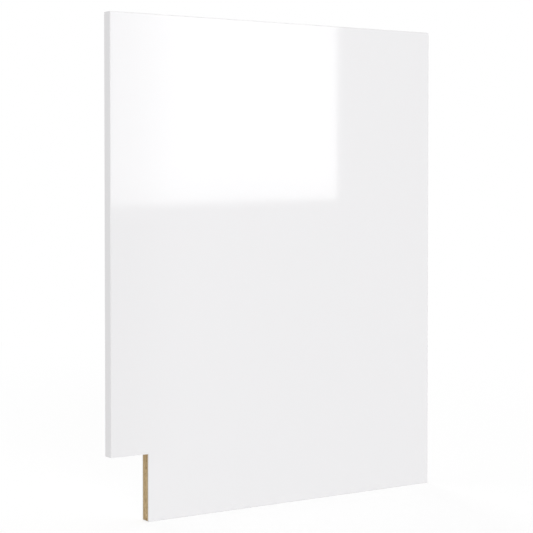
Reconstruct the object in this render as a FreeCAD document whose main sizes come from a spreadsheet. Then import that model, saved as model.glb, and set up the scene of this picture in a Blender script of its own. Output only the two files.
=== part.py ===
import FreeCAD, Part
import Sketcher
import os

# Base cabinet end panel with a toe notch.
#
# A core board carries a gloss sheet on its outer side and a balancing sheet on its cabinet side.
# All four edges are banded while the board is still a rectangle. The toe notch is then sawn out
# of the lower front corner, so its two faces show the bare board and the bands end there.
#
# Frame: the origin is at floor level, in the middle of the panel's depth and thickness.
# X runs from the front edge to the rear edge, Y from the gloss side to the cabinet side, Z up.

PARTS_FOLDER = "parts"
TOUCH = 1e-6

DRIVING_SIZES = {
    "panel_height": 768,
    "panel_depth": 610,
    "core_thickness": 15,
    "face_thickness": 2.5,
    "back_thickness": 1.5,
    "band_thickness": 1,
    "notch_height": 103.5,
    "notch_depth": 64,
    "arris_radius": 0.9,
}

# Lengths that follow from the driving sizes
BOARD_THICKNESS = "(Sizes.face_thickness + Sizes.core_thickness + Sizes.back_thickness)"
BLANK_DEPTH = "Sizes.panel_depth - 2 * Sizes.band_thickness"
BLANK_HEIGHT = "Sizes.panel_height - 2 * Sizes.band_thickness"
FRONT_BAND_HEIGHT = "Sizes.panel_height - Sizes.notch_height"
BOTTOM_BAND_DEPTH = "Sizes.panel_depth - Sizes.notch_depth - Sizes.band_thickness"
NOTCH_CUT_DEPTH = "Sizes.notch_depth - Sizes.band_thickness"
NOTCH_CUT_HEIGHT = "Sizes.notch_height - Sizes.band_thickness"
# A saw or a hand can round a band's arris only within the band's own thickness
ARRIS_RADIUS = "min(Sizes.arris_radius; 0.9 * Sizes.band_thickness)"

# Places along the depth, X
FRONT_EDGE = "-Sizes.panel_depth / 2"
BEHIND_FRONT_BAND = "-Sizes.panel_depth / 2 + Sizes.band_thickness"
NOTCH_FACE = "-Sizes.panel_depth / 2 + Sizes.notch_depth"
BEFORE_REAR_BAND = "Sizes.panel_depth / 2 - Sizes.band_thickness"

# Places across the board, Y
GLOSS_SIDE = f"-{BOARD_THICKNESS} / 2"
CORE_FRONT = f"-{BOARD_THICKNESS} / 2 + Sizes.face_thickness"
CORE_BACK = f"{BOARD_THICKNESS} / 2 - Sizes.back_thickness"

# Places up the height, Z
FLOOR = "0"
ABOVE_BOTTOM_BAND = "Sizes.band_thickness"
NOTCH_CEILING = "Sizes.notch_height"
BELOW_TOP_BAND = "Sizes.panel_height - Sizes.band_thickness"


def add_sizes(document):
    """Fill the spreadsheet that every piece is bound to."""
    sheet = document.addObject("Spreadsheet::Sheet", "Sizes")
    for row, (name, value) in enumerate(DRIVING_SIZES.items(), 1):
        sheet.set(f"A{row}", name)
        sheet.set(f"B{row}", str(value))
        sheet.setAlias(f"B{row}", name)
    document.recompute()


def add_body(document, label, place):
    """Add an empty body whose placement follows three expressions."""
    body = document.addObject("PartDesign::Body", label)
    body.Label = label
    for axis, expression in zip("xyz", place):
        body.setExpression(f"Placement.Base.{axis}", expression)
    return body


def sketch_rectangle(body, name, width, height):
    """Sketch a rectangle on the board's plane, with one corner on the body's origin."""
    sketch = body.newObject("Sketcher::SketchObject", name)
    board_plane = next(plane for plane in body.Origin.OriginFeatures if plane.Role == "XZ_Plane")
    sketch.AttachmentSupport = [(board_plane, "")]
    sketch.MapMode = "FlatFace"
    corners = [FreeCAD.Vector(x, y, 0) for x, y in ((0, 0), (2, 0), (2, 1), (0, 1))]
    for line, corner in enumerate(corners):
        sketch.addGeometry(Part.LineSegment(corner, corners[(line + 1) % 4]), False)
    bottom, right, top, left = range(4)
    for line, following in ((bottom, right), (right, top), (top, left), (left, bottom)):
        sketch.addConstraint(Sketcher.Constraint("Coincident", line, 2, following, 1))
    for line in (bottom, top):
        sketch.addConstraint(Sketcher.Constraint("Horizontal", line))
    for line in (right, left):
        sketch.addConstraint(Sketcher.Constraint("Vertical", line))
    sketch.addConstraint(Sketcher.Constraint("Coincident", bottom, 1, -1, 1))
    add_length(sketch, "DistanceX", bottom, "Width", width)
    add_length(sketch, "DistanceY", right, "Height", height)
    return sketch


def add_length(sketch, direction, line, name, expression):
    """Constrain one line's length and bind it to an expression."""
    index = sketch.addConstraint(Sketcher.Constraint(direction, line, 1, line, 2, 1))
    sketch.renameConstraint(index, name)
    sketch.setExpression(f"Constraints.{name}", expression)


def pad_board(body, width, height, thickness):
    """Pad a rectangle across the board, from the gloss side towards the cabinet side."""
    pad = body.newObject("PartDesign::Pad", "Blank")
    pad.Profile = sketch_rectangle(body, "BlankOutline", width, height)
    pad.Reversed = True
    pad.setExpression("Length", thickness)
    body.Document.recompute()
    return pad


def saw_notch(body, blank, thickness):
    """Cut the toe notch out of the lower front corner, through the whole layer."""
    notch = body.newObject("PartDesign::Pocket", "ToeNotch")
    notch.Profile = sketch_rectangle(body, "NotchOutline", NOTCH_CUT_DEPTH, NOTCH_CUT_HEIGHT)
    notch.setExpression("Length", thickness)
    body.Document.recompute()
    if notch.Shape.Volume >= blank.Shape.Volume:
        raise RuntimeError(f"{body.Label}: the toe notch removes nothing")


def is_on_side(point, box, side):
    """Tell whether a point lies on one side of a box, named such as XMin or ZMax."""
    return abs(getattr(point, side[0].lower()) - getattr(box, side)) < TOUCH


def round_arrises(body, strip, sides):
    """Round each edge of a band at which two of its open sides meet."""
    box = strip.Shape.BoundBox
    edges = []
    for number, edge in enumerate(strip.Shape.Edges, 1):
        if sum(is_on_side(edge.CenterOfMass, box, side) for side in sides) == 2:
            edges.append(f"Edge{number}")
    fillet = body.newObject("PartDesign::Fillet", "RoundedArrises")
    fillet.Base = (strip, edges)
    fillet.setExpression("Radius", ARRIS_RADIUS)


def build_layer(document, label, layer_side, thickness):
    """Build one layer of the board: a rectangle with the toe notch sawn out."""
    body = add_body(document, label, (BEHIND_FRONT_BAND, layer_side, ABOVE_BOTTOM_BAND))
    blank = pad_board(body, BLANK_DEPTH, BLANK_HEIGHT, thickness)
    saw_notch(body, blank, thickness)
    return body


def build_band(document, label, start, floor, width, height, open_sides):
    """Build one edge band, as wide as the whole board, with its open arrises rounded."""
    body = add_body(document, label, (start, GLOSS_SIDE, floor))
    strip = pad_board(body, width, height, BOARD_THICKNESS)
    round_arrises(body, strip, ("YMin", "YMax", *open_sides))
    return body


def build_layers(document):
    """Build the core board and the two sheets that are bonded to it."""
    return [
        build_layer(document, "core_board", CORE_FRONT, "Sizes.core_thickness"),
        build_layer(document, "gloss_face", GLOSS_SIDE, "Sizes.face_thickness"),
        build_layer(document, "back_sheet", CORE_BACK, "Sizes.back_thickness"),
    ]


def build_bands(document):
    """Build the edge bands: the upright ones cover the ends of the level ones."""
    thickness = "Sizes.band_thickness"
    return [
        build_band(document, "front_edge_band", FRONT_EDGE, NOTCH_CEILING,
                   thickness, FRONT_BAND_HEIGHT, ("XMin", "ZMax")),
        build_band(document, "rear_edge_band", BEFORE_REAR_BAND, FLOOR,
                   thickness, "Sizes.panel_height", ("XMax", "ZMin", "ZMax")),
        build_band(document, "top_edge_band", BEHIND_FRONT_BAND, BELOW_TOP_BAND,
                   BLANK_DEPTH, thickness, ("ZMax",)),
        build_band(document, "bottom_edge_band", NOTCH_FACE, FLOOR,
                   BOTTOM_BAND_DEPTH, thickness, ("ZMin",)),
    ]


def check_document(document, pieces):
    """Stop if any object has failed or any piece isn't one sound solid."""
    for item in document.Objects:
        if {"Invalid", "Error"} & set(item.State):
            raise RuntimeError(f"{item.Label}: {item.State}")
    for piece in pieces:
        shape = piece.Shape
        if shape.isNull() or not shape.isValid() or len(shape.Solids) != 1:
            raise RuntimeError(f"{piece.Label}: the shape isn't one valid solid")


def export_pieces(pieces):
    """Write each piece to its own file, named by its label."""
    os.makedirs(PARTS_FOLDER, exist_ok=True)
    for piece in pieces:
        piece.Shape.exportStep(os.path.join(PARTS_FOLDER, f"{piece.Label}.step"))


document = FreeCAD.newDocument("EndPanel")
add_sizes(document)
pieces = build_layers(document) + build_bands(document)
document.recompute()
check_document(document, pieces)
export_pieces(pieces)
for piece in pieces:
    print(f"{piece.Label}: {piece.Shape.Volume / 1000:.2f} cm3")
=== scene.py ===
"""Looks of a base cabinet end panel with a toe notch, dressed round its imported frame.

The panel is a wood-based board with a gloss sheet on its outer side and a satin sheet on its
cabinet side. All four edges are banded, and the toe notch is sawn out of the lower front corner
afterwards, so its two faces show the bare board.

Lengths are in metres. X runs from the front edge to the rear edge, Y from the gloss side to the
cabinet side, and Z up.
"""

import logging
import math
from dataclasses import dataclass, field
from enum import Enum
from typing import Callable, Iterable

import bmesh
import bpy
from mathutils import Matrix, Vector, noise


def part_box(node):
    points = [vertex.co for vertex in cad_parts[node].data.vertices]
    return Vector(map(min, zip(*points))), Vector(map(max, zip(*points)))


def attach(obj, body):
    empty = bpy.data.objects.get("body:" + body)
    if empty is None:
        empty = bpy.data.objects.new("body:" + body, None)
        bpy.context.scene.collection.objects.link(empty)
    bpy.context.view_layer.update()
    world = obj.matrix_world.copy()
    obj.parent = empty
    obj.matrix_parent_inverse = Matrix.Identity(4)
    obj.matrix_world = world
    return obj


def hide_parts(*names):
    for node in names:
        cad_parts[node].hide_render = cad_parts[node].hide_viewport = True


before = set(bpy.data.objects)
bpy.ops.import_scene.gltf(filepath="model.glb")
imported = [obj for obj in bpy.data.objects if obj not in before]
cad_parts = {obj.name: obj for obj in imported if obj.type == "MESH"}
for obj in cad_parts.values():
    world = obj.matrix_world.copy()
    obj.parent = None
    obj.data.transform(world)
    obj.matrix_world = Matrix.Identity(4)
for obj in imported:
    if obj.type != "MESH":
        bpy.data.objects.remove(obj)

LOG = logging.getLogger("end_panel")
BODY = "root"
PIT_ATTRIBUTE = "pit_depth"
CHIP_ATTRIBUTE = "chip_shade"
MILLIMETRE = 0.001
# A point this close to a plane or a border counts as lying on it
TOUCH = 1e-6
# A point this close to a saw cut counts as sawn
SKIN = 0.05 * MILLIMETRE
# Where a plane of size 1 ends, in its own coordinates
PLANE_EDGE = 0.5
# The point, close to the panel's middle, that the studio's lamps aim at
LAMP_AIM = (0.0, 0.0, 0.38)

Point = tuple[float, float, float]
Colour = tuple[float, float, float]
Socket = bpy.types.NodeSocket
Number = float | Socket
Paint = tuple[float, float, float, float] | Socket


class Side(Enum):
    """An outward direction of a piece, as an axis index and a sign."""

    FRONT = (0, -1)
    REAR = (0, 1)
    GLOSS = (1, -1)
    CABINET = (1, 1)
    FLOOR = (2, -1)
    TOP = (2, 1)

    def holds(self, point: Vector, low: Vector, high: Vector) -> bool:
        """Tell whether a point lies on this side of a box, given by its two corners."""
        axis, sign = self.value
        return abs(point[axis] - (high if sign > 0 else low)[axis]) < TOUCH


class BandPlace(Enum):
    """The edge of the panel that a band covers, named as its piece of the frame."""

    FRONT = "front_edge_band"
    REAR = "rear_edge_band"
    TOP = "top_edge_band"
    BOTTOM = "bottom_edge_band"


@dataclass(frozen=True)
class PanelSizes:
    """Places on the panel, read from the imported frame.

    Args:
        blank_low: lowest corner of the board before the notch was sawn, without its bands.
        blank_high: highest corner of the same board.
        notch_face: X of the notch's upright face.
        notch_ceiling: Z of the notch's ceiling.
    """

    blank_low: Vector
    blank_high: Vector
    notch_face: float
    notch_ceiling: float

    @classmethod
    def from_frame(cls) -> "PanelSizes":
        """Read the sizes from the boxes of the frame's pieces.

        Returns:
            The sizes.
        """
        low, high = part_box("core_board")
        foot_low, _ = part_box(BandPlace.BOTTOM.value)
        front_low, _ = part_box(BandPlace.FRONT.value)
        return cls(Vector(low), Vector(high), foot_low[0], front_low[2])

    @property
    def half(self) -> Vector:
        """Half of the blank's size along each axis."""
        return (self.blank_high - self.blank_low) / 2

    @property
    def middle(self) -> Vector:
        """The blank's middle."""
        return (self.blank_high + self.blank_low) / 2


class ShaderSheet:
    """A node tree with short calls that add and join its nodes."""

    def __init__(self, tree: bpy.types.NodeTree) -> None:
        """Take over a node tree."""
        self.tree = tree

    def add(self, kind: str, inputs: dict | None = None, **settings: object) -> bpy.types.Node:
        """Add a node.

        Args:
            kind: the node's type, without its ShaderNode prefix.
            inputs: values or output sockets, by the input's name or number.
            settings: properties of the node itself.

        Returns:
            The new node.
        """
        node = self.tree.nodes.new("ShaderNode" + kind)
        for name, value in settings.items():
            setattr(node, name, value)
        for name, value in (inputs or {}).items():
            if isinstance(value, Socket):
                self.join(value, node.inputs[name])
            else:
                node.inputs[name].default_value = value
        return node

    def join(self, output: Socket, target: Socket) -> None:
        """Link an output to an input."""
        self.tree.links.new(output, target)

    def maths(self, operation: str, *values: Number, clamp: bool = False) -> Socket:
        """Add a Math node and return its result."""
        inputs = dict(enumerate(values))
        return self.add("Math", inputs, operation=operation, use_clamp=clamp).outputs[0]

    def apart(self, first: Number, second: Number) -> Socket:
        """Return how far apart two numbers are."""
        return self.maths("ABSOLUTE", self.maths("SUBTRACT", first, second))

    def mix(self, mask: Number, first: Number, second: Number) -> Socket:
        """Mix two numbers by a mask and return the number."""
        return self.add("Mix", {"Factor": mask, "A": first, "B": second}).outputs[0]

    def blend(self, mask: Number, first: Paint, second: Paint) -> Socket:
        """Mix two colours by a mask, through the Mix node's colour sockets.

        Args:
            mask: 0 for the first colour and 1 for the second.
            first: a colour or an output socket.
            second: the same.

        Returns:
            The mixed colour.
        """
        factor, first_colour, second_colour, mixed = 0, 6, 7, 2
        inputs = {factor: mask, first_colour: first, second_colour: second}
        node = self.add("Mix", inputs, data_type="RGBA", clamp_factor=True)
        return node.outputs[mixed]

    def effect(self, group: bpy.types.NodeTree, position: Socket, **values: float) -> bpy.types.NodeOutputs:
        """Place a shared effect, with its coordinates and its other inputs, and return its outputs."""
        return self.add("Group", {"Position": position, **values}, node_tree=group).outputs

    def read_attribute(self, name: str) -> Socket:
        """Read a number that the piece's own mesh carries."""
        node = self.add("Attribute", None, attribute_name=name, attribute_type="GEOMETRY")
        return node.outputs["Fac"]

    def ramp(self, value: Number, low: float, high: float) -> Socket:
        """Map a value to 0 at low and 1 at high, smoothly, and return it."""
        inputs = {"Value": value, "From Min": low, "From Max": high}
        return self.add("MapRange", inputs, interpolation_type="SMOOTHSTEP").outputs["Result"]


def opaque(colour: Colour) -> tuple[float, float, float, float]:
    """Add a full alpha to a colour."""
    return (*colour, 1.0)


def new_group(name: str, numbers: tuple[str, ...],
              results: tuple[str, ...]) -> tuple[ShaderSheet, bpy.types.NodeOutputs, bpy.types.NodeInputs]:
    """Make an empty shader node group, which takes a position and numbers and puts out numbers.

    Args:
        name: the group's name.
        numbers: names of its inputs besides the position.
        results: names of its outputs.

    Returns:
        The group's node sheet, the values that it is given and the sockets for its results.
    """
    group = bpy.data.node_groups.new(name, "ShaderNodeTree")
    group.interface.new_socket(name="Position", in_out="INPUT", socket_type="NodeSocketVector")
    for direction, sockets in (("INPUT", numbers), ("OUTPUT", results)):
        for socket in sockets:
            group.interface.new_socket(name=socket, in_out=direction, socket_type="NodeSocketFloat")
    given = group.nodes.new("NodeGroupInput").outputs
    return ShaderSheet(group), given, group.nodes.new("NodeGroupOutput").inputs


def make_ripple_group() -> bpy.types.NodeTree:
    """Build the faint waviness that a pressed sheet keeps, as a height.

    Returns:
        The group.
    """
    sheet, given, result = new_group("PressedRipple", ("Wave",), ("Height",))
    per_metre = sheet.maths("DIVIDE", 1.0, given["Wave"])
    place = {"Vector": given["Position"], "Scale": per_metre, "Detail": 2.0, "Roughness": 0.45}
    waves = sheet.add("TexNoise", place)
    sheet.join(waves.outputs[0], result["Height"])
    return sheet.tree


def make_handling_group() -> bpy.types.NodeTree:
    """Build the soft patches that wiping and handling leave on a finish, as a mask.

    Returns:
        The group.
    """
    sheet, given, result = new_group("HandlingMarks", ("Amount",), ("Mask",))
    patches_per_metre = (9.0, 9.0, 3.0)
    clean_below, worn_above = 0.42, 0.72
    wiped = sheet.add("Mapping", {"Vector": given["Position"], "Scale": patches_per_metre})
    cloudy = sheet.add("TexNoise", {"Vector": wiped.outputs[0], "Scale": 1.0, "Detail": 4.0})
    patches = sheet.ramp(cloudy.outputs[0], clean_below, worn_above)
    sheet.join(sheet.maths("MULTIPLY", patches, given["Amount"]), result["Mask"])
    return sheet.tree


def make_glue_line_group(sizes: PanelSizes) -> bpy.types.NodeTree:
    """Build the hairline of glue where the sheets meet the bands, as a mask.

    Args:
        sizes: places on the panel.

    Returns:
        The group.
    """
    sheet, given, result = new_group("GlueLine", ("Width",), ("Mask",))
    parts = sheet.add("SeparateXYZ", {"Vector": given["Position"]}).outputs
    beside = sheet.apart(sheet.maths("ABSOLUTE", parts["X"]), sizes.half.x)
    above = sheet.apart(sheet.apart(parts["Z"], sizes.middle.z), sizes.half.z)
    nearest = sheet.maths("MINIMUM", beside, above)
    share = sheet.maths("DIVIDE", nearest, given["Width"])
    sheet.join(sheet.maths("SUBTRACT", 1.0, share, clamp=True), result["Mask"])
    return sheet.tree


def make_saw_cut_group(sizes: PanelSizes) -> bpy.types.NodeTree:
    """Build what the saw leaves on the notch's faces: a mask of where it cut, and its marks.

    Args:
        sizes: places on the panel.

    Returns:
        The group.
    """
    sheet, given, result = new_group("SawCut", (), ("Mask", "Height"))
    parts = sheet.add("SeparateXYZ", {"Vector": given["Position"]}).outputs
    limits = {"X": sizes.notch_face, "Z": sizes.notch_ceiling}
    on_faces = []
    for across, along in (("X", "Z"), ("Z", "X")):
        on_plane = sheet.maths("LESS_THAN", sheet.apart(parts[across], limits[across]), SKIN)
        within = sheet.maths("LESS_THAN", parts[along], limits[along] + SKIN)
        on_faces.append(sheet.maths("MULTIPLY", on_plane, within))
    sheet.join(sheet.maths("MAXIMUM", *on_faces), result["Mask"])

    marks_per_metre = (1800.0, 60.0, 1800.0)
    lines = sheet.add("Mapping", {"Vector": given["Position"], "Scale": marks_per_metre})
    marks = sheet.add("TexNoise", {"Vector": lines.outputs[0], "Scale": 1.0, "Detail": 3.0})
    sheet.join(marks.outputs[0], result["Height"])
    return sheet.tree


@dataclass(frozen=True)
class EffectGroups:
    """The node groups that several finishes share.

    Args:
        ripple: the waviness of a pressed sheet.
        handling: the patches that handling leaves.
        glue_line: the hairline of glue at the bands.
        saw_cut: the mask and the marks of the saw in the notch.
    """

    ripple: bpy.types.NodeTree
    handling: bpy.types.NodeTree
    glue_line: bpy.types.NodeTree
    saw_cut: bpy.types.NodeTree

    @classmethod
    def build(cls, sizes: PanelSizes) -> "EffectGroups":
        """Build each group once."""
        placed = (make_glue_line_group(sizes), make_saw_cut_group(sizes))
        return cls(make_ripple_group(), make_handling_group(), *placed)


@dataclass(frozen=True)
class SheetFinish:
    """A smooth, factory-made surface: a bonded sheet or an edge band.

    Args:
        name: the material's name.
        colour: base colour of the clean surface.
        roughness: roughness of the clean surface.
        marks: roughness that handling adds at most.
        wave: length of the surface's ripples.
        ripple_depth: distance setting of the ripples' bump.
        ripple_strength: strength of the ripples' bump.
        glue_colour: colour of the glue at the joint with the next piece.
        glue_width: how wide the glue shows.
        sawn_roughness: roughness where the saw cut through.
        saw_depth: depth of the saw's marks.
    """

    name: str
    colour: Colour
    roughness: float
    marks: float
    wave: float
    ripple_depth: float
    ripple_strength: float
    glue_colour: Colour = (0.55, 0.54, 0.51)
    glue_width: float = 0.10 * MILLIMETRE
    sawn_roughness: float = 0.50
    saw_depth: float = 0.03 * MILLIMETRE

    def material(self, groups: EffectGroups) -> bpy.types.Material:
        """Build the material.

        Args:
            groups: the shared effects.

        Returns:
            The finished material.
        """
        material, sheet, shader = new_material(self.name)
        position = sheet.add("TexCoord").outputs["Object"]
        glue = sheet.effect(groups.glue_line, position, Width=self.glue_width)
        handling = sheet.effect(groups.handling, position, Amount=self.marks)
        ripple = sheet.effect(groups.ripple, position, Wave=self.wave)
        saw = sheet.effect(groups.saw_cut, position)

        colour = sheet.blend(glue["Mask"], opaque(self.colour), opaque(self.glue_colour))
        sheet.join(colour, shader.inputs["Base Color"])
        used = sheet.maths("ADD", handling["Mask"], self.roughness)
        roughness = sheet.mix(saw["Mask"], used, self.sawn_roughness)
        sheet.join(roughness, shader.inputs["Roughness"])

        waves = sheet.add("Bump", {"Height": ripple["Height"], "Distance": self.ripple_depth,
                                   "Strength": self.ripple_strength})
        lines = sheet.maths("MULTIPLY", saw["Height"], saw["Mask"])
        cuts = sheet.add("Bump", {"Height": lines, "Distance": self.saw_depth, "Strength": 1.0,
                                  "Normal": waves.outputs["Normal"]})
        sheet.join(cuts.outputs["Normal"], shader.inputs["Normal"])
        return material


GLOSS_SHEET = SheetFinish(
    name="gloss_white_sheet",
    colour=(0.85, 0.845, 0.855),
    roughness=0.04,
    marks=0.01,
    wave=12.0 * MILLIMETRE,
    ripple_depth=0.02 * MILLIMETRE,
    ripple_strength=0.02,
)
SATIN_SHEET = SheetFinish(
    name="satin_white_sheet",
    colour=(0.84, 0.84, 0.83),
    roughness=0.42,
    marks=0.06,
    wave=0.7 * MILLIMETRE,
    ripple_depth=0.03 * MILLIMETRE,
    ripple_strength=0.5,
)
GLOSS_BAND = SheetFinish(
    name="gloss_edge_band",
    colour=(0.85, 0.845, 0.855),
    roughness=0.16,
    marks=0.04,
    wave=1.2 * MILLIMETRE,
    ripple_depth=0.01 * MILLIMETRE,
    ripple_strength=0.2,
)


@dataclass(frozen=True)
class ChipPattern:
    """How the chips lie in the middle of the board, for its shape and for its colour.

    Args:
        start: where in the pattern the board was cut.
        chip: size of a chip, along X, Y and Z.
        loose_patch: size of the patches in which chips lie loose.
        loose_from: value of the packing noise above which chips lie loose.
        loose_full: value at which the gaps between them are at their deepest.
        seam_depth: depth of the seams between packed chips.
        gap_depth: depth of the gaps between loose chips.
        steepness: how steeply the sides of a seam fall.
    """

    start: Point = (0.137, 0.0071, 0.263)
    chip: Point = (7.0 * MILLIMETRE, 1.1 * MILLIMETRE, 7.0 * MILLIMETRE)
    loose_patch: Point = (6.0 * MILLIMETRE, 2.0 * MILLIMETRE, 6.0 * MILLIMETRE)
    loose_from: float = 0.15
    loose_full: float = 0.75
    seam_depth: float = 0.06 * MILLIMETRE
    gap_depth: float = 0.38 * MILLIMETRE
    steepness: float = 9.0

    def shade(self, point: Vector) -> float:
        """Return the random shade, 0 to 1, of the chip that a point lies in.

        Args:
            point: the point, on the board.

        Returns:
            The shade.
        """
        place = [(point[axis] - self.start[axis]) / self.chip[axis] for axis in range(3)]
        _, hearts = noise.voronoi(place)
        return (noise.cell(hearts[0]) + 1) / 2

    def openness(self, point: Vector) -> float:
        """Return how deep a seam is at a point, as a share of the deepest gap.

        Args:
            point: the point, on the board.

        Returns:
            The share.
        """
        packing = noise.noise([point[axis] / self.loose_patch[axis] for axis in range(3)])
        looseness = (packing - self.loose_from) / (self.loose_full - self.loose_from)
        packed = self.seam_depth / self.gap_depth
        return packed + (1 - packed) * min(max(looseness, 0.0), 1.0)

    def texture(self) -> bpy.types.Texture:
        """Make the pattern of seams as a texture: 0 between two chips and 1 on a chip.

        Returns:
            The texture, whose cells are one unit wide.
        """
        texture = bpy.data.textures.new("Seams", "VORONOI")
        texture.noise_scale = 1.0
        texture.weight_1, texture.weight_2 = -1.0, 1.0
        texture.noise_intensity = self.steepness
        texture.use_clamp = True
        return texture

    def guide(self) -> bpy.types.Object:
        """Place an empty that gives the texture the chips' size and place.

        Returns:
            The empty.
        """
        guide = bpy.data.objects.new("PatternGuide", None)
        bpy.context.collection.objects.link(guide)
        guide.location = self.start
        guide.scale = self.chip
        bpy.context.view_layer.update()
        return guide


@dataclass(frozen=True)
class RawBoardFinish:
    """The sawn face of a three-layer chipboard: coarse chips inside, fine ones outside.

    Args:
        name: the material's name.
        sizes: places on the panel.
        pattern: how the chips lie.
        pale: colour of the palest chips.
        deep: colour of the darker chips.
        bark: colour of the few chips that hold bark.
        gap: painted shade inside the seams and gaps between chips, reached in full where they sink deepest.
        crumb: size of the crumbs that the outer layers are made of.
        streak: size of the soft streaks that packed chips leave.
        fibre: size of the fibres in a chip.
        streak_range: values of the streaks' noise that count as none and as full.
        fine_layer: thickness of each outer layer, which ends midway between two rows of the mesh.
        layer_blend: half of the width over which the layers' colours change.
        bark_share: share of the chips that hold bark.
        blur: how softly bark and the painted shade in the gaps begin, as a share.
        base_tone: tone where every pattern is at its darkest.
        chip_weight: how much a chip's own shade adds to the tone.
        crumb_weight: how much a crumb's shade adds in the outer layers.
        fibre_weight: how much the fibres add.
        streak_weight: how much the streaks add.
        roughness: roughness of the sawn wood.
        fibre_depth: depth of the fibres' bump.
        saw_depth: depth of the saw's marks.
    """

    name: str
    sizes: PanelSizes
    pattern: ChipPattern = ChipPattern()
    pale: Colour = (0.665, 0.492, 0.274)
    deep: Colour = (0.330, 0.225, 0.104)
    bark: Colour = (0.260, 0.160, 0.072)
    gap: Colour = (0.170, 0.100, 0.042)
    crumb: Point = (1.5 * MILLIMETRE, 0.35 * MILLIMETRE, 1.5 * MILLIMETRE)
    streak: Point = (24.0 * MILLIMETRE, 4.5 * MILLIMETRE, 24.0 * MILLIMETRE)
    fibre: Point = (2.0 * MILLIMETRE, 0.2 * MILLIMETRE, 2.0 * MILLIMETRE)
    streak_range: tuple[float, float] = (0.30, 0.70)
    fine_layer: float = 2.5 * MILLIMETRE
    layer_blend: float = 1.0 * MILLIMETRE
    bark_share: float = 0.04
    blur: float = 0.3
    base_tone: float = -0.045
    chip_weight: float = 0.80
    crumb_weight: float = 0.45
    fibre_weight: float = 0.36
    streak_weight: float = 0.08
    roughness: float = 0.85
    fibre_depth: float = 0.05 * MILLIMETRE
    saw_depth: float = 0.04 * MILLIMETRE

    @property
    def fine_start(self) -> float:
        """Distance from the board's middle at which the fine layers start."""
        return self.sizes.half.y - self.fine_layer

    def stretched(self, sheet: ShaderSheet, position: Socket, size: Point) -> Socket:
        """Stretch the coordinates so that a pattern's cells get the given size."""
        scale = tuple(1 / length for length in size)
        return sheet.add("Mapping", {"Vector": position, "Scale": scale}).outputs[0]

    def cells(self, sheet: ShaderSheet, position: Socket, size: Point) -> Socket:
        """Lay cells of one size and return a random shade for each."""
        voronoi = sheet.add("TexVoronoi", {"Vector": self.stretched(sheet, position, size), "Scale": 1.0})
        return sheet.add("SeparateColor", {"Color": voronoi.outputs["Color"]}).outputs["Red"]

    def clouds(self, sheet: ShaderSheet, position: Socket, size: Point, detail: float) -> Socket:
        """Add a soft pattern whose patches have the given size."""
        place = {"Vector": self.stretched(sheet, position, size), "Scale": 1.0, "Detail": detail}
        return sheet.add("TexNoise", place).outputs[0]

    def in_fine_layer(self, sheet: ShaderSheet, position: Socket) -> Socket:
        """Make the mask of the outer layers.

        Args:
            sheet: the material's nodes.
            position: the coordinates.

        Returns:
            The mask, 1 in the outer layers.
        """
        across = sheet.add("SeparateXYZ", {"Vector": position}).outputs["Y"]
        from_middle = sheet.apart(across, self.sizes.middle.y)
        return sheet.ramp(from_middle, self.fine_start - self.layer_blend, self.fine_start + self.layer_blend)

    def wood(self, sheet: ShaderSheet, position: Socket, fibres: Socket) -> Socket:
        """Colour the chips, the outer layers' crumbs and the chips that hold bark.

        Args:
            sheet: the material's nodes.
            position: the coordinates.
            fibres: the fibres' pattern.

        Returns:
            The colour.
        """
        is_fine = self.in_fine_layer(sheet, position)
        chips = sheet.read_attribute(CHIP_ATTRIBUTE)
        crumbs = self.cells(sheet, position, self.crumb)
        streaks = sheet.ramp(self.clouds(sheet, position, self.streak, detail=1.0), *self.streak_range)
        coarse = sheet.maths("MULTIPLY", chips, self.chip_weight)
        fine_base = (self.chip_weight - self.crumb_weight) / 2
        fine = sheet.maths("MULTIPLY_ADD", crumbs, self.crumb_weight, fine_base)
        tone = sheet.maths("ADD", sheet.mix(is_fine, coarse, fine), self.base_tone)
        for pattern, weight in ((fibres, self.fibre_weight), (streaks, self.streak_weight)):
            tone = sheet.maths("MULTIPLY_ADD", pattern, weight, tone)
        colour = sheet.blend(tone, opaque(self.deep), opaque(self.pale))
        is_clean = sheet.ramp(chips, self.bark_share * (1 - self.blur), self.bark_share * (1 + self.blur))
        is_plain = sheet.maths("MAXIMUM", is_clean, is_fine)
        return sheet.blend(is_plain, opaque(self.bark), colour)

    def material(self, groups: EffectGroups) -> bpy.types.Material:
        """Build the material.

        Args:
            groups: the shared effects.

        Returns:
            The finished material.
        """
        material, sheet, shader = new_material(self.name)
        position = sheet.add("TexCoord").outputs["Object"]
        fibres = self.clouds(sheet, position, self.fibre, detail=3.0)
        # Painted shade: the seams and gaps are coloured darker the deeper they sink, up to the gap colour
        full_shade_depth = self.pattern.gap_depth * (1 - self.blur)
        gap_shade_mask = sheet.ramp(sheet.read_attribute(PIT_ATTRIBUTE), 0.0, full_shade_depth)
        colour = sheet.blend(gap_shade_mask, self.wood(sheet, position, fibres), opaque(self.gap))
        sheet.join(colour, shader.inputs["Base Color"])
        shader.inputs["Roughness"].default_value = self.roughness

        saw = sheet.effect(groups.saw_cut, position)
        grain = sheet.add("Bump", {"Height": fibres, "Distance": self.fibre_depth, "Strength": 1.0})
        cuts = sheet.add("Bump", {"Height": saw["Height"], "Distance": self.saw_depth, "Strength": 1.0,
                                  "Normal": grain.outputs["Normal"]})
        sheet.join(cuts.outputs["Normal"], shader.inputs["Normal"])
        return material


def new_material(name: str) -> tuple[bpy.types.Material, ShaderSheet, bpy.types.Node]:
    """Make a material with a bare Principled shader.

    Args:
        name: the material's name.

    Returns:
        The material, its node sheet and its Principled node.
    """
    material = bpy.data.materials.new(name)
    material.use_nodes = True
    sheet = ShaderSheet(material.node_tree)
    return material, sheet, material.node_tree.nodes["Principled BSDF"]


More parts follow.
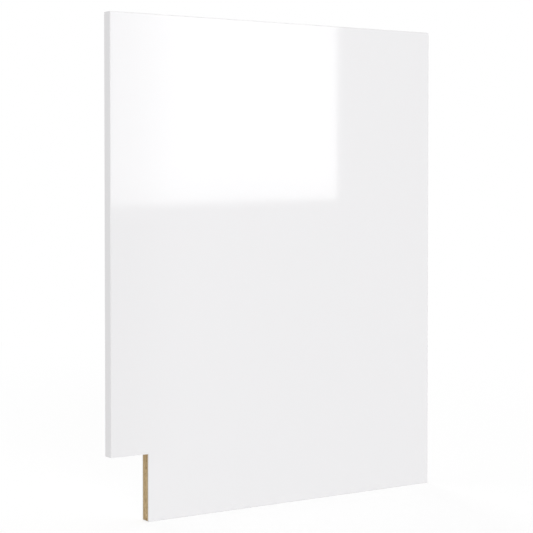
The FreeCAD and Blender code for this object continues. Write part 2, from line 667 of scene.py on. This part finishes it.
def new_plain_material(name: str) -> tuple[bpy.types.Material, ShaderSheet]:
    """Make a material with no nodes in it yet.

    Args:
        name: the material's name.

    Returns:
        The material and its node sheet.
    """
    material = bpy.data.materials.new(name)
    material.use_nodes = True
    material.node_tree.nodes.clear()
    return material, ShaderSheet(material.node_tree)


class Bench:
    """Steps of modelling that every new piece goes through."""

    @staticmethod
    def block(name: str, low: Vector, high: Vector) -> bpy.types.Object:
        """Add a block between two corners, with its place in its mesh.

        Args:
            name: the piece's name.
            low: lowest corner.
            high: highest corner.

        Returns:
            The block, selected and active, in object mode.
        """
        bpy.ops.object.select_all(action="DESELECT")
        bpy.ops.mesh.primitive_cube_add(size=1, location=(low + high) / 2, scale=high - low)
        piece = bpy.context.object
        piece.name = name
        piece.data.name = name
        bpy.ops.object.transform_apply(location=True, rotation=True, scale=True)
        return piece

    @staticmethod
    def select(piece: bpy.types.Object, kind: str, wanted: Callable[[object], bool]) -> None:
        """Select parts of the mesh in edit mode, and nothing else.

        Args:
            piece: the piece in edit mode.
            kind: verts, edges or faces.
            wanted: tells whether one of them is selected.
        """
        bpy.ops.mesh.select_all(action="DESELECT")
        mode = {"verts": "VERT", "edges": "EDGE", "faces": "FACE"}[kind]
        bpy.ops.mesh.select_mode(type=mode)
        mesh = bmesh.from_edit_mesh(piece.data)
        for part in filter(wanted, getattr(mesh, kind)):
            part.select_set(True)
        mesh.select_flush_mode()
        bmesh.update_edit_mesh(piece.data)

    @staticmethod
    def apply(piece: bpy.types.Object, kind: str, **settings: object) -> None:
        """Add a modifier and apply it.

        Args:
            piece: the piece, active and in object mode.
            kind: the modifier's type.
            settings: its settings, by name.
        """
        modifier = piece.modifiers.new(kind.title(), kind)
        for name, value in settings.items():
            setattr(modifier, name, value)
        bpy.ops.object.modifier_apply(modifier=modifier.name)

    @staticmethod
    def hand_over(piece: bpy.types.Object, node: str, slot: str, material: bpy.types.Material) -> None:
        """Dress a finished piece and let it stand for a piece of the frame.

        Args:
            piece: the finished piece.
            node: the frame's piece that it replaces.
            slot: the material slot that it belongs to; not used.
            material: its material.
        """
        piece.data.materials.append(material)
        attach(piece, BODY)
        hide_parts(node)


def middle(edge: bmesh.types.BMEdge) -> Vector:
    """Return the middle of an edge."""
    return (edge.verts[0].co + edge.verts[1].co) / 2


def count_sides(point: Vector, low: Vector, high: Vector, sides: Iterable[Side]) -> int:
    """Count those of the given sides of a box on which a point lies."""
    return sum(side.holds(point, low, high) for side in sides)


@dataclass
class EdgeBanding:
    """The four edge bands, with the arrises that stay open rounded over.

    Args:
        finish: the bands' finish.
        groups: the shared effects.
        arris_radius: radius of the rounded arrises.
        arris_steps: segments across each rounded arris.
        crease: angle above which two faces meet in a sharp edge.
        open_sides: the sides of each band, besides the gloss and cabinet ones, that nothing meets.
    """

    finish: SheetFinish
    groups: EffectGroups
    arris_radius: float = 0.9 * MILLIMETRE
    arris_steps: int = 6
    crease: float = math.radians(40)
    open_sides: dict[BandPlace, tuple[Side, ...]] = field(default_factory=lambda: {
        BandPlace.FRONT: (Side.FRONT, Side.TOP),
        BandPlace.REAR: (Side.REAR, Side.TOP, Side.FLOOR),
        BandPlace.TOP: (Side.TOP,),
        BandPlace.BOTTOM: (Side.FLOOR,),
    })

    def build(self) -> list[bpy.types.Object]:
        """Model and dress the bands.

        Returns:
            The bands.
        """
        material = self.finish.material(self.groups)
        bands = []
        for place in BandPlace:
            band = self.strip(place)
            Bench.hand_over(band, place.value, "edge_band", material)
            bands.append(band)
        return bands

    def strip(self, place: BandPlace) -> bpy.types.Object:
        """Model one band.

        Args:
            place: the edge that it covers.

        Returns:
            The band, in object mode.
        """
        low, high = (Vector(corner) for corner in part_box(place.value))
        sides = (Side.GLOSS, Side.CABINET, *self.open_sides[place])
        band = Bench.block(place.value + "_strip", low, high)
        bpy.ops.object.mode_set(mode="EDIT")
        Bench.select(band, "edges", lambda edge: count_sides(middle(edge), low, high, sides) == 2)
        bpy.ops.mesh.bevel(offset=self.arris_radius, segments=self.arris_steps, profile=0.5)
        bpy.ops.object.mode_set(mode="OBJECT")
        bpy.ops.object.shade_smooth_by_angle(angle=self.crease)
        Bench.apply(band, "WEIGHTED_NORMAL", keep_sharp=True, weight=100)
        return band


@dataclass
class CoreBoard:
    """The wood-based board, with the two sawn faces of its toe notch open to view.

    Args:
        sizes: places on the panel.
        finish: the sawn board's finish.
        groups: the shared effects.
        cell: width of the finest mesh cells on the sawn faces.
        fine_share: how deep the outer layers are pitted, as a share of the middle layer.
        crease: angle above which two faces meet in a sharp edge.
    """

    sizes: PanelSizes
    finish: RawBoardFinish
    groups: EffectGroups
    cell: float = 0.20 * MILLIMETRE
    fine_share: float = 0.25
    crease: float = math.radians(50)

    def build(self) -> bpy.types.Object:
        """Model the board, saw its notch, pit the sawn faces and dress it.

        Returns:
            The board.
        """
        board = Bench.block("core_board_sawn", self.sizes.blank_low, self.sizes.blank_high)
        bpy.ops.object.mode_set(mode="EDIT")
        self.saw_notch(board)
        self.refine_sawn_faces(board)
        bpy.ops.object.mode_set(mode="OBJECT")
        self.pit_sawn_faces(board)
        Bench.hand_over(board, "core_board", "raw_board", self.finish.material(self.groups))
        return board

    def in_notch(self, point: Vector) -> bool:
        """Tell whether a point lies inside the notch."""
        return point.x < self.sizes.notch_face - TOUCH and point.z < self.sizes.notch_ceiling - TOUCH

    def on_upright(self, point: Vector) -> bool:
        """Tell whether a point lies on the notch's upright face."""
        return abs(point.x - self.sizes.notch_face) < TOUCH and point.z < self.sizes.notch_ceiling + TOUCH

    def on_ceiling(self, point: Vector) -> bool:
        """Tell whether a point lies on the notch's ceiling."""
        return abs(point.z - self.sizes.notch_ceiling) < TOUCH and point.x < self.sizes.notch_face + TOUCH

    def on_inner_line(self, point: Vector) -> bool:
        """Tell whether a point lies where the two sawn faces meet."""
        return self.on_upright(point) and self.on_ceiling(point)

    def saw_notch(self, board: bpy.types.Object) -> None:
        """Cut the corner out of the block and close the two sawn faces.

        Args:
            board: the block, in edit mode.
        """
        planes = (((self.sizes.notch_face, 0, 0), (1, 0, 0)), ((0, 0, self.sizes.notch_ceiling), (0, 0, 1)))
        for point, normal in planes:
            bpy.ops.mesh.select_all(action="SELECT")
            bpy.ops.mesh.bisect(plane_co=point, plane_no=normal)
        Bench.select(board, "faces", lambda face: self.in_notch(face.calc_center_median()))
        bpy.ops.mesh.delete(type="FACE")
        for wanted in (self.on_inner_line, self.on_upright, self.on_ceiling):
            Bench.select(board, "verts", lambda vert: wanted(vert.co))
            bpy.ops.mesh.edge_face_add()
        bpy.ops.mesh.select_all(action="SELECT")
        bpy.ops.mesh.normals_make_consistent(inside=False)

    def refine_sawn_faces(self, board: bpy.types.Object) -> None:
        """Divide the sawn faces into square cells and those into the finest ones.

        Args:
            board: the board, in edit mode.
        """
        sizes = self.sizes
        width = 2 * sizes.half.y
        runs = (
            (self.on_upright, Vector((0, 0, 1)), sizes.blank_low.z, sizes.notch_ceiling),
            (self.on_ceiling, Vector((1, 0, 0)), sizes.blank_low.x, sizes.notch_face),
        )
        for on_face, direction, start, end in runs:
            squares = round((end - start) / width)
            for number in range(1, squares):
                Bench.select(board, "faces", lambda face: on_face(face.calc_center_median()))
                place = start + (end - start) * number / squares
                bpy.ops.mesh.bisect(plane_co=direction * place, plane_no=direction)
        Bench.select(board, "faces", self.is_sawn_face)
        bpy.ops.mesh.subdivide(number_cuts=round(width / self.cell) - 1)

    def is_sawn_face(self, face: bmesh.types.BMFace) -> bool:
        """Tell whether a face lies on one of the two sawn faces."""
        centre = face.calc_center_median()
        return self.on_upright(centre) or self.on_ceiling(centre)

    def is_free(self, point: Vector) -> bool:
        """Tell whether a point of a sawn face is clear of that face's border."""
        low, high = self.sizes.blank_low, self.sizes.blank_high
        return point.y < high.y - TOUCH and all(point[axis] > low[axis] + TOUCH for axis in range(3))

    def opening(self, point: Vector) -> float:
        """Return how deep the seams sink at a point of a sawn face, as a share of the deepest gap."""
        is_coarse = abs(point.y - self.sizes.middle.y) < self.finish.fine_start
        return (1.0 if is_coarse else self.fine_share) * self.finish.pattern.openness(point)

    def pit_sawn_faces(self, board: bpy.types.Object) -> None:
        """Sink the seams between the chips, and note each point's depth and its chip's shade.

        Args:
            board: the board, active and in object mode.
        """
        pattern = self.finish.pattern
        group = board.vertex_groups.new(name="opening")
        starts, shades = {}, {}
        for vert in board.data.vertices:
            if self.on_upright(vert.co) or self.on_ceiling(vert.co):
                shades[vert.index] = pattern.shade(vert.co)
                if self.is_free(vert.co):
                    starts[vert.index] = vert.co.copy()
                    group.add([vert.index], self.opening(vert.co), "REPLACE")
        texture, guide = pattern.texture(), pattern.guide()
        Bench.apply(board, "DISPLACE", texture=texture, texture_coords="OBJECT", texture_coords_object=guide,
                    vertex_group=group.name, mid_level=1.0, strength=pattern.gap_depth)
        bpy.data.objects.remove(guide)
        bpy.data.textures.remove(texture)
        bpy.ops.object.shade_smooth_by_angle(angle=self.crease)
        verts = board.data.vertices
        depths = {index: (verts[index].co - start).length for index, start in starts.items()}
        self.note(board, PIT_ATTRIBUTE, depths)
        self.note(board, CHIP_ATTRIBUTE, shades)

    def note(self, board: bpy.types.Object, name: str, values: dict[int, float]) -> None:
        """Keep numbers, by the point's index, in an attribute of the board's mesh."""
        attribute = board.data.attributes.new(name, "FLOAT", "POINT")
        for index, value in values.items():
            attribute.data[index].value = value


@dataclass
class BondedSheets:
    """The gloss sheet and the satin sheet, which keep their shape from the frame.

    Args:
        groups: the shared effects.
        gloss: finish of the outer sheet.
        satin: finish of the cabinet side's sheet.
    """

    groups: EffectGroups
    gloss: SheetFinish
    satin: SheetFinish

    def build(self) -> list[bpy.types.Object]:
        """Dress both sheets.

        Returns:
            The sheets.
        """
        sheets = []
        for node, finish in (("gloss_face", self.gloss), ("back_sheet", self.satin)):
            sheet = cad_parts[node]
            material = finish.material(self.groups)
            for slot in sheet.material_slots:
                slot.material = material
            sheets.append(sheet)
        return sheets


@dataclass
class Camera:
    """The camera at the photograph's place.

    Args:
        place: where it stands.
        yaw: turn from +Y towards +X.
        pitch: tilt below the horizon.
        focal_length: its lens, in millimetres.
        sensor: width of its sensor, in millimetres.
        rise: vertical lens shift, as a share of the frame's width.
    """

    place: Point = (-1.3767, -2.0300, 0.5170)
    yaw: float = math.radians(33.752)
    pitch: float = math.radians(1.5)
    focal_length: float = 103.63
    sensor: float = 36.0
    rise: float = -0.0857

    def build(self) -> None:
        """Place the camera and make it the scene's own."""
        bpy.ops.object.camera_add(location=self.place)
        camera = bpy.context.object
        camera.name = "photo_camera"
        camera.rotation_euler = (math.pi / 2 - self.pitch, 0.0, -self.yaw)
        camera.data.sensor_width = self.sensor
        camera.data.lens = self.focal_length
        camera.data.shift_y = self.rise
        bpy.context.scene.camera = camera


@dataclass(frozen=True)
class SoftPanel:
    """A square area lamp that aims at the panel.

    Args:
        name: the lamp's name.
        place: where it stands.
        power: its power in watts.
        side: length of its sides.
    """

    name: str
    place: Point
    power: float
    side: float = 4.0

    def build(self) -> None:
        """Place the lamp."""
        bpy.ops.object.light_add(type="AREA", location=self.place)
        lamp = bpy.context.object
        lamp.name = self.name
        lamp.data.shape = "SQUARE"
        lamp.data.size = self.side
        lamp.data.energy = self.power
        aim = Vector(LAMP_AIM) - Vector(self.place)
        lamp.rotation_euler = aim.to_track_quat("-Z", "Y").to_euler()
        lamp.visible_glossy = False


@dataclass(frozen=True)
class StudioFloor:
    """A pale floor that keeps the object's shadow and turns plain white further out.

    Seen from below it is clear, so that it doesn't hide the object's underside.

    Args:
        size: length of its sides.
        shade: grey of its paint.
        glow: light that it gives off, which brings it level with the surroundings.
        lift: what is added close to the object where the floor is looked at.
        near: distance at which it starts to turn white.
        far: distance at which it is plain white to look at.
    """

    size: float = 40.0
    shade: float = 0.38
    glow: float = 0.43
    lift: float = 0.27
    near: float = 0.8
    far: float = 2.5

    def build(self) -> bpy.types.Object:
        """Lay the floor.

        Returns:
            The floor.
        """
        bpy.ops.mesh.primitive_plane_add(size=self.size)
        floor = bpy.context.object
        floor.name = "studio_floor"
        floor.data.materials.append(self.material())
        return floor

    def material(self) -> bpy.types.Material:
        """Build the floor's paint and glow.

        Returns:
            The material.
        """
        material, sheet = new_plain_material("studio_floor")
        seen = is_seen(sheet)
        paint = sheet.add("BsdfDiffuse", {"Color": opaque((self.shade,) * 3)})
        glow = sheet.add("Emission", {"Strength": sheet.maths("MULTIPLY_ADD", seen, self.lift, self.glow)})
        lit = sheet.add("AddShader", {0: paint.outputs[0], 1: glow.outputs[0]})
        distance = sheet.add("VectorMath", {0: sheet.add("TexCoord").outputs["Object"]}, operation="LENGTH")
        is_far = sheet.ramp(distance.outputs["Value"], self.near, self.far)
        white = sheet.add("Emission", {"Strength": 1.0})
        share = sheet.maths("MULTIPLY", seen, is_far)
        both = sheet.add("MixShader", {0: share, 1: lit.outputs[0], 2: white.outputs[0]})
        clear = sheet.add("BsdfTransparent")
        is_underside = sheet.add("NewGeometry").outputs["Backfacing"]
        surface = sheet.add("MixShader", {0: is_underside, 1: both.outputs[0], 2: clear.outputs[0]})
        sheet.add("OutputMaterial", {"Surface": surface.outputs[0]})
        return material


def stand_plane(name: str, place: Point, width: float, height: float, turn: float = 0.0) -> bpy.types.Object:
    """Stand an upright plane that only reflections see.

    Args:
        name: its name.
        place: its middle.
        width: its width.
        height: its height.
        turn: its turn about the upright.

    Returns:
        The plane, with no material yet.
    """
    bpy.ops.mesh.primitive_plane_add(size=1, location=place, rotation=(math.pi / 2, 0.0, turn))
    plane = bpy.context.object
    plane.name = name
    plane.scale = (width, height, 1.0)
    plane.visible_camera = False
    plane.visible_diffuse = False
    plane.visible_transmission = False
    plane.visible_shadow = False
    return plane


@dataclass(frozen=True)
class Softbox:
    """The upright softbox whose reflection lies on the gloss side.

    Args:
        left: X and Y of its left end.
        right: X and Y of its right end.
        low: height of its lower edge.
        high: height of its upper edge.
        glow: how bright it looks.
        left_glow: how bright its left end looks.
        left_fade: length of the change between the two.
        low_share: brightness just above its lower edge, as a share of the rest.
        low_fade: height of the change between the two.
        soft_edge: height over which its lower edge fades out.
    """

    left: tuple[float, float] = (0.905, -2.306)
    right: tuple[float, float] = (2.674, -3.486)
    low: float = 0.395
    high: float = 1.9
    glow: float = 4.2
    left_glow: float = 2.6
    left_fade: float = 0.6
    low_share: float = 0.84
    low_fade: float = 0.18
    soft_edge: float = 0.06

    def build(self) -> bpy.types.Object:
        """Stand the softbox.

        Returns:
            The softbox.
        """
        left, right = Vector(self.left), Vector(self.right)
        width, height = (right - left).length, self.high - self.low
        centre = (left + right) / 2
        place = (centre.x, centre.y, self.low + height / 2)
        turn = math.atan2(right.y - left.y, right.x - left.x)
        softbox = stand_plane("softbox", place, width, height, turn)
        softbox.data.materials.append(self.material(width, height))
        return softbox

    def material(self, width: float, height: float) -> bpy.types.Material:
        """Build the softbox's light, which fades towards its left end and its lower edge.

        Args:
            width: the softbox's width.
            height: its height.

        Returns:
            The material.
        """
        material, sheet = new_plain_material("softbox")
        local = sheet.add("SeparateXYZ", {"Vector": sheet.add("TexCoord").outputs["Object"]})
        across, up = local.outputs["X"], local.outputs["Y"]
        from_left = sheet.ramp(across, -PLANE_EDGE, -PLANE_EDGE + self.left_fade / width)
        from_low = sheet.ramp(up, -PLANE_EDGE, -PLANE_EDGE + self.low_fade / height)
        past_edge = sheet.ramp(up, -PLANE_EDGE, -PLANE_EDGE + self.soft_edge / height)
        level = sheet.mix(from_left, self.left_glow, self.glow)
        lower = sheet.mix(from_low, self.low_share, 1.0)
        strength = sheet.maths("MULTIPLY", sheet.maths("MULTIPLY", level, lower), past_edge)
        glow = sheet.add("Emission", {"Strength": sheet.mix(past_edge, 1.0, strength)})
        sheet.add("OutputMaterial", {"Surface": glow.outputs[0]})
        return material


@dataclass(frozen=True)
class GreyGel:
    """An upright sheet of grey gel, which dims only the reflections that pass through it.

    Args:
        place: its middle.
        width: its width.
        height: its height.
        density: share of the light that it holds back where it is densest.
        left_fade: width over which it turns clear towards its left end.
        right_fade: width over which it turns clear towards its right end.
        top_fade: height over which it turns clear towards its top.
    """

    place: Point = (-0.40, -0.45, 0.24)
    width: float = 1.0
    height: float = 0.48
    density: float = 0.62
    left_fade: float = 0.35
    right_fade: float = 0.19
    top_fade: float = 0.05

    def build(self) -> bpy.types.Object:
        """Hang the gel.

        Returns:
            The gel.
        """
        gel = stand_plane("grey_gel", self.place, self.width, self.height)
        gel.data.materials.append(self.material())
        return gel

    def material(self) -> bpy.types.Material:
        """Build the gel's tint.

        Returns:
            The material.
        """
        material, sheet = new_plain_material("grey_gel")
        local = sheet.add("SeparateXYZ", {"Vector": sheet.add("TexCoord").outputs["Object"]})
        across, up = local.outputs["X"], local.outputs["Y"]
        from_left = sheet.ramp(across, -PLANE_EDGE, -PLANE_EDGE + self.left_fade / self.width)
        at_right = sheet.ramp(across, PLANE_EDGE - self.right_fade / self.width, PLANE_EDGE)
        at_top = sheet.ramp(up, PLANE_EDGE - self.top_fade / self.height, PLANE_EDGE)
        grey = sheet.maths("MULTIPLY", from_left, self.density)
        for fade in (at_right, at_top):
            grey = sheet.maths("MULTIPLY", grey, sheet.maths("SUBTRACT", 1.0, fade))
        tint = sheet.add("BsdfTransparent", {"Color": sheet.maths("SUBTRACT", 1.0, grey)})
        sheet.add("OutputMaterial", {"Surface": tint.outputs[0]})
        return material


@dataclass
class Studio:
    """A plain white studio: surroundings, floor, softbox, gel and lamps.

    Args:
        ambient: strength of the even light from all round.
        floor: the floor.
        softbox: the softbox.
        gel: the gel that dims the gloss side's front edge.
        lamps: the lamps that light the object from afar.
    """

    ambient: float = 0.64
    floor: StudioFloor = StudioFloor()
    softbox: Softbox = Softbox()
    gel: GreyGel = GreyGel()
    lamps: Iterable[SoftPanel] = (
        SoftPanel("front_fill", place=(-3.6, -10.0, 1.6), power=466.0),
        SoftPanel("back_fill", place=(2.4, 10.0, 2.4), power=360.0),
    )

    def build(self) -> None:
        """Set up the whole studio."""
        self.surroundings()
        self.floor.build()
        self.softbox.build()
        self.gel.build()
        for lamp in self.lamps:
            lamp.build()
        bpy.context.scene.view_settings.view_transform = "Standard"

    def surroundings(self) -> None:
        """Make the world white to look at and plain as a light."""
        world = bpy.data.worlds.new("studio")
        world.use_nodes = True
        bpy.context.scene.world = world
        sheet = ShaderSheet(world.node_tree)
        background = world.node_tree.nodes["Background"]
        background.inputs["Color"].default_value = opaque((1.0, 1.0, 1.0))
        strength = sheet.mix(is_seen(sheet), self.ambient, 1.0)
        sheet.join(strength, background.inputs["Strength"])


def is_seen(sheet: ShaderSheet) -> Socket:
    """Tell the rays that look at a surface, straight or by reflection, from light.

    Args:
        sheet: the material's nodes.

    Returns:
        1 for a ray that looks and 0 for light.
    """
    path = sheet.add("LightPath").outputs
    straight_or_gloss = sheet.maths("MAXIMUM", path["Is Camera Ray"], path["Is Glossy Ray"])
    return sheet.maths("MAXIMUM", straight_or_gloss, path["Is Transmission Ray"])


def main() -> None:
    """Build the panel's pieces, dress them and set up the studio."""
    logging.basicConfig(level=logging.INFO, format="%(name)s: %(message)s")
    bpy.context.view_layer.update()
    sizes = PanelSizes.from_frame()
    groups = EffectGroups.build(sizes)
    pieces = [
        CoreBoard(sizes, RawBoardFinish("sawn_chipboard", sizes), groups).build(),
        *BondedSheets(groups, GLOSS_SHEET, SATIN_SHEET).build(),
        *EdgeBanding(GLOSS_BAND, groups).build(),
    ]
    for piece in pieces:
        LOG.info("%s: %d faces", piece.name, len(piece.data.polygons))
    Studio().build()
    Camera().build()


if __name__ == "__main__":
    main()
